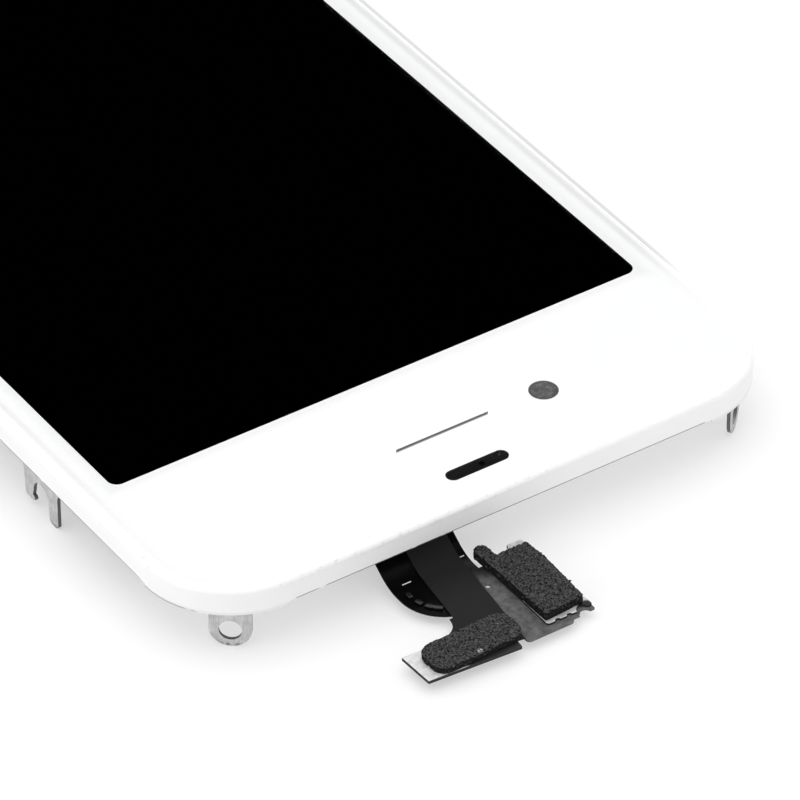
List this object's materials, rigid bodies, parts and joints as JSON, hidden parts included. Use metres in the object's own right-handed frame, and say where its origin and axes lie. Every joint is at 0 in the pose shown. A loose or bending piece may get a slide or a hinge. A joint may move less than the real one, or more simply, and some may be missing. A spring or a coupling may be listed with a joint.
{
  "type": "phone lcd screen assembly",
  "caption": "Phone display with cover glass, white border, touch sensor and liquid crystal module in a moulded bezel, with steel fixing tabs and flexible circuits with board connectors.",
  "frame": {"origin": "centre of the front face of the cover glass", "axes": "+Z out of the glass, +Y from the earpiece end to the home button end, +X to the right as seen from the earpiece end with the glass up"},
  "size_m": [0.0562, 0.1244, 0.0063],
  "materials": {
    "cover_glass": "polished, bevelled front edge",
    "border_print": "opaque white ink on the back of the glass",
    "camera_window": "smoky see-through ink",
    "sensor_window": "near-black infrared ink",
    "adhesive": "foam-backed adhesive film",
    "clear_adhesive": "clear optical adhesive",
    "sensor_glass": "thin polished glass",
    "polarizer": "neutral grey film, black when off",
    "cell_glass": "dark display glass",
    "chip": "bare silicon",
    "film": "translucent film",
    "light_guide": "clear moulded acrylic",
    "reflector": "silvered white film",
    "lamp_circuit": "amber polyimide",
    "lamp": "yellow phosphor in a white case",
    "white_moulding": "matt white moulding",
    "tray": "pressed bright steel",
    "tape": "matt black film tape",
    "bezel": "satin white moulding, lightly scuffed on the near wall",
    "steel": "rolled stainless sheet with dark sheared edges",
    "touch_flex": "matt black cover film",
    "display_flex": "glossy black cover film, satin grey by the connector",
    "component": "ceramic chips under the cover film",
    "stiffener": "bright steel plate with dark edges",
    "connector": "moulded black liquid crystal polymer",
    "contact": "gold plated",
    "foam": "open dark grey foam, cut edges, a few pale specks"
  },
  "bodies": {
    "root": {"cover_glass": "cover_glass", "border_print": "border_print", "camera_window": "camera_window", "sensor_window": "sensor_window", "border_adhesive": "adhesive", "touch_bond": "clear_adhesive", "touch_sensor": "sensor_glass", "display_bond": "clear_adhesive", "front_polarizer": "polarizer", "filter_glass": "cell_glass", "array_glass": "cell_glass", "driver_chip": "chip", "rear_polarizer": "polarizer", "upper_prism_film": "film", "lower_prism_film": "film", "diffuser_film": "film", "light_guide": "light_guide", "reflector_film": "reflector", "lamp_circuit": "lamp_circuit", "lamps": "lamp", "backlight_frame": "white_moulding", "lcd_tray": "tray", "tray_tape": "tape", "bezel": "bezel", "steel_frame": "steel", "touch_flex": "touch_flex", "display_flex": "display_flex", "flex_components": "component", "touch_stiffener": "stiffener", "display_stiffener": "stiffener", "touch_connector": "connector", "display_connector": "connector", "touch_contacts": "contact", "display_contacts": "contact", "touch_foam": "foam", "display_foam": "foam"}
  },
  "joints": []
}
